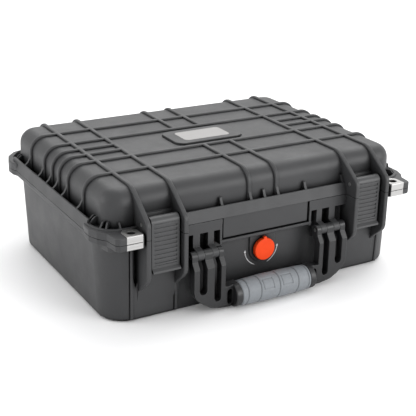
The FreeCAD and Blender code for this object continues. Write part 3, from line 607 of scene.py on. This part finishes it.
def round_rect(x0, x1, y0, y1, r, n=8):
    pts = []
    for cx, cy, a0 in ((x1 - r, y1 - r, 0), (x0 + r, y1 - r, 90), (x0 + r, y0 + r, 180), (x1 - r, y0 + r, 270)):
        for i in range(n + 1):
            a = math.radians(a0 + 90 * i / n)
            pts.append((cx + r * math.cos(a), cy + r * math.sin(a)))
    return pts


def area_of(poly):
    return 0.5 * sum(poly[i][0] * poly[(i + 1) % len(poly)][1] - poly[(i + 1) % len(poly)][0] * poly[i][1] for i in range(len(poly)))


def inset(poly, d):
    """Shrink a convex outline by d."""
    n = len(poly)
    lines = []
    for i in range(n):
        a, b = poly[i], poly[(i + 1) % n]
        ex, ey = b[0] - a[0], b[1] - a[1]
        L = math.hypot(ex, ey)
        if L < 1e-7:
            continue
        nx_, ny_ = -ey / L, ex / L
        lines.append((a[0] + nx_ * d, a[1] + ny_ * d, ex / L, ey / L))
    out = poly
    for (px, py, ex, ey) in lines:
        def side(v):
            return ex * (v[1] - py) - ey * (v[0] - px)

        def cut(a, b):
            sa, sb = side(a), side(b)
            t = sa / (sa - sb)
            return (a[0] + (b[0] - a[0]) * t, a[1] + (b[1] - a[1]) * t)
        out = clip_poly(out, lambda v: side(v) >= -1e-9, cut)
        if len(out) < 3:
            return []
    return out


def simplify(poly, tol=0.0004):
    out = []
    for p in poly:
        if not out or math.hypot(p[0] - out[-1][0], p[1] - out[-1][1]) > tol:
            out.append(p)
    if len(out) > 1 and math.hypot(out[0][0] - out[-1][0], out[0][1] - out[-1][1]) <= tol:
        out.pop()
    return out


def build_tray():
    lo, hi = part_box("base_foam_tray")
    z0, z1 = lo.z, hi.z
    hx = hi.x
    yf, yr = lo.y, hi.y
    px, py = 0.140, 0.088
    xs = [-hx + 0.0006 + i * (hx - px - 0.0006) / 4 for i in range(4)] + [-px + i * 2 * px / 20 for i in range(21)] + [px + (i + 1) * (hx - 0.0006 - px) / 4 for i in range(4)]
    ys = [yf + 0.0004 + i * (-py - yf - 0.0004) / 3 for i in range(3)] + [-py + i * 2 * py / 12 for i in range(13)] + [py + (i + 1) * (yr - 0.0006 - py) / 3 for i in range(3)]
    hull_top = round_rect(-hx + 0.0006, hx - 0.0006, yf - 0.02, yr - 0.0006, 0.026)
    hull_top = clip_poly(hull_top, lambda v: v[1] >= yf + 0.0004, lambda a, b: (a[0] + (b[0] - a[0]) * ((yf + 0.0004 - a[1]) / (b[1] - a[1])), yf + 0.0004))
    verts, faces = [], []
    rnd = random.Random(3)
    for i in range(len(xs) - 1):
        for j in range(len(ys) - 1):
            x0, x1, y0, y1 = xs[i], xs[i + 1], ys[j], ys[j + 1]
            mx_, my_ = (x0 + x1) / 2, (y0 + y1) / 2
            if abs(mx_) < px and abs(my_) < py:
                continue
            cell = clip_convex([(x0, y0), (x1, y0), (x1, y1), (x0, y1)], hull_top)
            if len(cell) < 3 or abs(area_of(cell)) < 3e-5:
                continue
            cell = simplify(cell)
            dz = rnd.uniform(-0.0010, 0.0)
            tx, ty = rnd.uniform(-0.004, 0.004), rnd.uniform(-0.004, 0.004)
            gap = 0.00035
            levels = ((z0 + 0.0002, gap), (z1 - 0.0045, gap), (z1 - 0.0022, gap + 0.0003), (z1 - 0.0008, gap + 0.0011), (z1, gap + 0.0026))
            rings = []
            base = inset(cell, gap)
            if len(base) < 3:
                continue
            cxm = sum(p[0] for p in base) / len(base)
            cym = sum(p[1] for p in base) / len(base)
            size = max(max(abs(p[0] - cxm), abs(p[1] - cym)) for p in base)
            for (z, g) in levels:
                k = 1 - (g - gap) / max(size, 0.003)
                # the walls lean outwards with the tub
                f = (z - z0) / (z1 - z0)
                ring = []
                for (x, y) in base:
                    xx, yy = cxm + (x - cxm) * k, cym + (y - cym) * k
                    lean = 0.0024 * (1 - f)
                    if abs(xx) > px:
                        xx -= math.copysign(lean * (abs(xx) - px) / (hx - px), xx)
                    if yy > py:
                        yy -= 0.0062 * (1 - f) * (yy - py) / (yr - py)
                    zz = z
                    if z > z1 - 0.003:
                        zz = z + dz + (xx - cxm) * tx * 3 + (yy - cym) * ty * 3
                        zz = min(zz, z1)
                    ring.append((xx, yy, zz))
                rings.append(ring)
            n0 = len(verts)
            n = len(base)
            for ring in rings:
                verts.extend(ring)
            verts.append((cxm, cym, min(z1, z1 + dz + 0.0002)))
            for r in range(len(rings) - 1):
                for q in range(n):
                    a = n0 + r * n + q
                    b = n0 + r * n + (q + 1) % n
                    faces.append((a, b, b + n, a + n))
            top = n0 + (len(rings) - 1) * n
            for q in range(n):
                faces.append((top + q, top + (q + 1) % n, n0 + len(rings) * n))
            faces.append([n0 + q for q in reversed(range(n))])
    ob = new_object("foam_pluck_block", verts, faces, FOAM)
    mod = ob.modifiers.new("smooth", "NODES")
    mod.node_group = SMOOTH
    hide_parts("base_foam_tray")
    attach(ob, "base")
    return ob


def grid_slab(name, x0, x1, y0, y1, corner, nx, ny, top, bottom, mat):
    """Closed slab with a rounded outline: top(x, y) and bottom(x, y) give its two skins."""
    def squeeze(u, v):
        # square -1..1 to a rounded rectangle with the given corner radius
        x = (x0 + x1) / 2 + u * (x1 - x0) / 2
        y = (y0 + y1) / 2 + v * (y1 - y0) / 2
        ax0, ax1, ay0, ay1 = x0 + corner, x1 - corner, y0 + corner, y1 - corner
        cx = min(max(x, ax0), ax1)
        cy = min(max(y, ay0), ay1)
        dx, dy = x - cx, y - cy
        if dx and dy:
            m = max(abs(dx), abs(dy))
            L = math.hypot(dx, dy)
            return cx + dx * m / L, cy + dy * m / L
        return x, y
    verts, faces = [], []
    for k, fn in ((0, bottom), (1, top)):
        for j in range(ny + 1):
            for i in range(nx + 1):
                x, y = squeeze(-1 + 2 * i / nx, -1 + 2 * j / ny)
                verts.append((x, y, fn(x, y)))
    N = (nx + 1) * (ny + 1)

    def at(k, i, j):
        return k * N + j * (nx + 1) + i
    for j in range(ny):
        for i in range(nx):
            faces.append((at(0, i, j), at(0, i, j + 1), at(0, i + 1, j + 1), at(0, i + 1, j)))
            faces.append((at(1, i, j), at(1, i + 1, j), at(1, i + 1, j + 1), at(1, i, j + 1)))
    for i in range(nx):
        faces.append((at(0, i, 0), at(0, i + 1, 0), at(1, i + 1, 0), at(1, i, 0)))
        faces.append((at(0, i + 1, ny), at(0, i, ny), at(1, i, ny), at(1, i + 1, ny)))
    for j in range(ny):
        faces.append((at(0, 0, j + 1), at(0, 0, j), at(1, 0, j), at(1, 0, j + 1)))
        faces.append((at(0, nx, j), at(0, nx, j + 1), at(1, nx, j + 1), at(1, nx, j)))
    ob = new_object(name, verts, faces, mat)
    mod = ob.modifiers.new("smooth", "NODES")
    mod.node_group = SMOOTH
    return ob


def build_pad():
    lo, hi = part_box("base_foam_pad")

    def top(x, y):
        n = noise.noise(Vector((x * 40, y * 40, 1.7)))
        return hi.z - 0.0009 + 0.0007 * n

    def bottom(x, y):
        return lo.z + 0.0001
    ob = grid_slab("foam_floor_pad", lo.x + 0.001, hi.x - 0.001, lo.y + 0.001, hi.y - 0.001, 0.022, 150, 110, top, bottom, FOAM)
    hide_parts("base_foam_pad")
    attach(ob, "base")


def build_lid_foam():
    lo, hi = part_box("lid_foam")
    pitch = 0.026
    amp = 0.0085

    def bottom(x, y):
        e = min(x - lo.x, hi.x - x, y - lo.y, hi.y - y)
        f = max(0.0, min(1.0, e / 0.010))
        w = 0.5 - 0.5 * math.cos(2 * math.pi * x / pitch) * math.cos(2 * math.pi * (y - 0.0015) / pitch)
        n = 0.0004 * noise.noise(Vector((x * 55, y * 55, 3.1)))
        return lo.z + 0.0012 + amp * w * f + n

    def top(x, y):
        e = min(x - lo.x, hi.x - x, y - lo.y, hi.y - y)
        drop = 0.0 if e > 0.012 else 0.012 - math.sqrt(max(0.0, 0.012 ** 2 - (0.012 - e) ** 2))
        return hi.z - 0.0002 - drop
    ob = grid_slab("foam_lid_eggcrate", lo.x + 0.0005, hi.x - 0.0005, lo.y + 0.0005, hi.y - 0.0005, 0.016, 230, 170, top, bottom, FOAM)
    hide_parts("lid_foam")
    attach(ob, "lid")


build_tray()
build_pad()
build_lid_foam()


# ---------------------------------------------------------------------------
# floor
# ---------------------------------------------------------------------------
def build_floor():
    n = 24
    s = 6.0
    verts = [(-s + 2 * s * i / n, -s + 2 * s * j / n, -0.0004) for j in range(n + 1) for i in range(n + 1)]
    faces = [(j * (n + 1) + i, j * (n + 1) + i + 1, (j + 1) * (n + 1) + i + 1, (j + 1) * (n + 1) + i) for j in range(n) for i in range(n)]
    k = Mat("studio_floor")
    nz = k.noise(3.0, 2.0, 0.5)
    k.link(k.mix(nz, (0.93, 0.93, 0.935), (0.95, 0.95, 0.955)), k.b.inputs["Base Color"])
    k.set(Roughness=0.9)
    ob = new_object("studio_floor", verts, faces, k.m, smooth=False)


build_floor()

bpy.context.view_layer.update()
